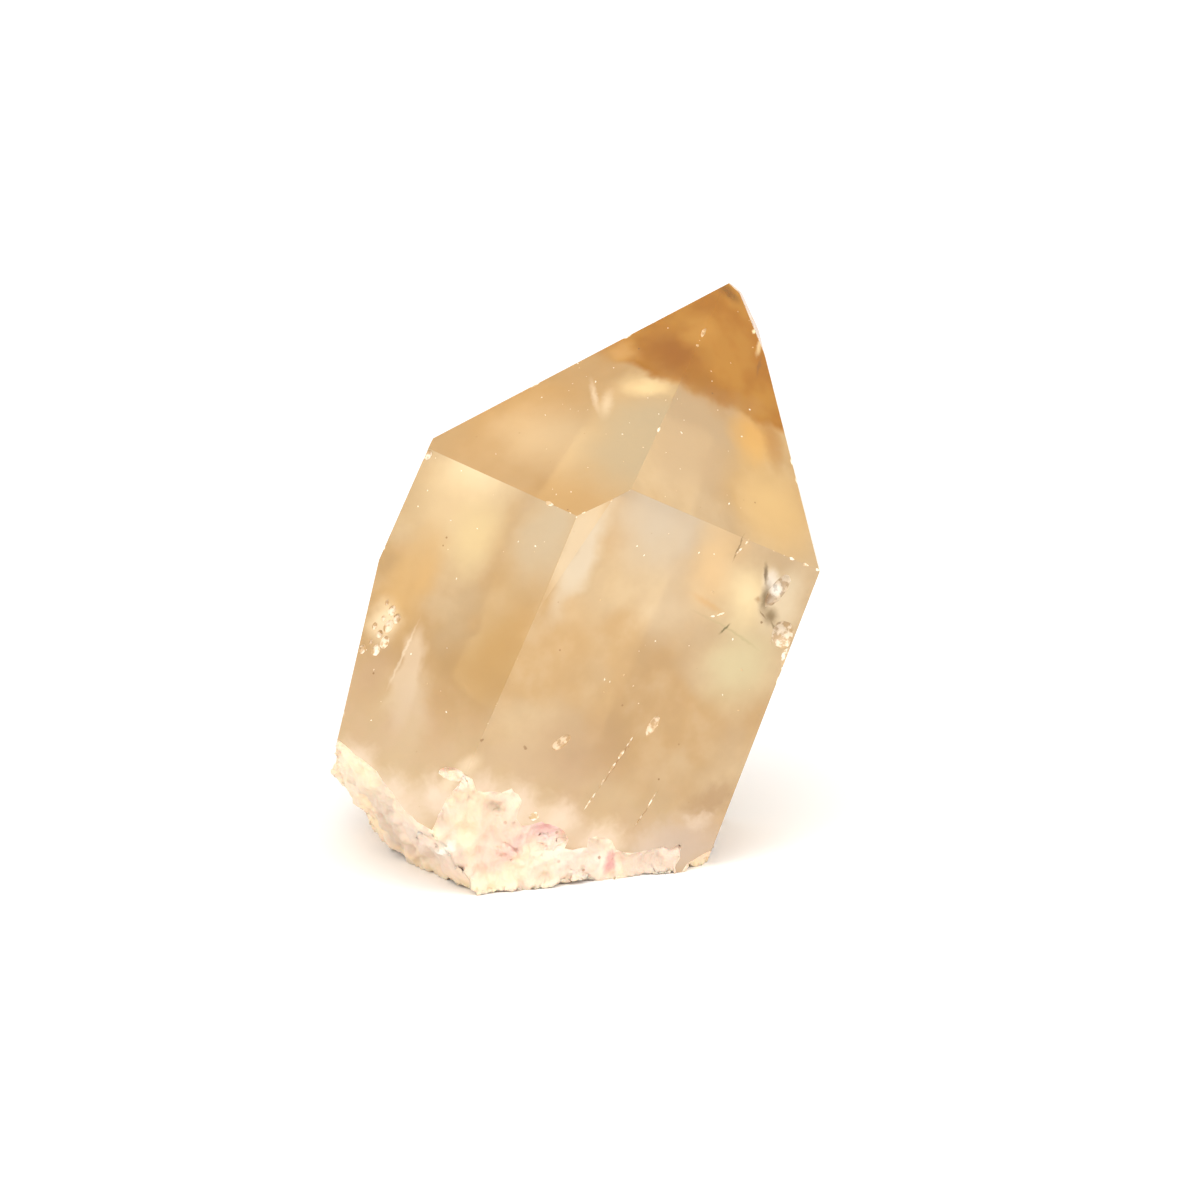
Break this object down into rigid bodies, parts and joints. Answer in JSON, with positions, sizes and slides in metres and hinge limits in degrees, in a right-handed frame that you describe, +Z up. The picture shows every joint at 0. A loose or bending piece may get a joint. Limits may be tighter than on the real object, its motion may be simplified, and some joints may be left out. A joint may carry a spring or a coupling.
{
  "type": "citrine crystal point",
  "caption": "Honey-yellow natural quartz point with a brown tip and a pale rough root, leaning on its broken base.",
  "frame": {"origin": "on the level the crystal stands on, under the middle of its box", "axes": "+Z up, -Y towards the front edge between the two widest prism faces, +X the way the tip leans"},
  "size_m": [0.037, 0.0388, 0.0416],
  "materials": {
    "quartz": "see-through honey quartz with milky zones, glossy faces and a cream, matt root"
  },
  "bodies": {
    "root": {"citrine_crystal": "quartz"}
  },
  "joints": []
}
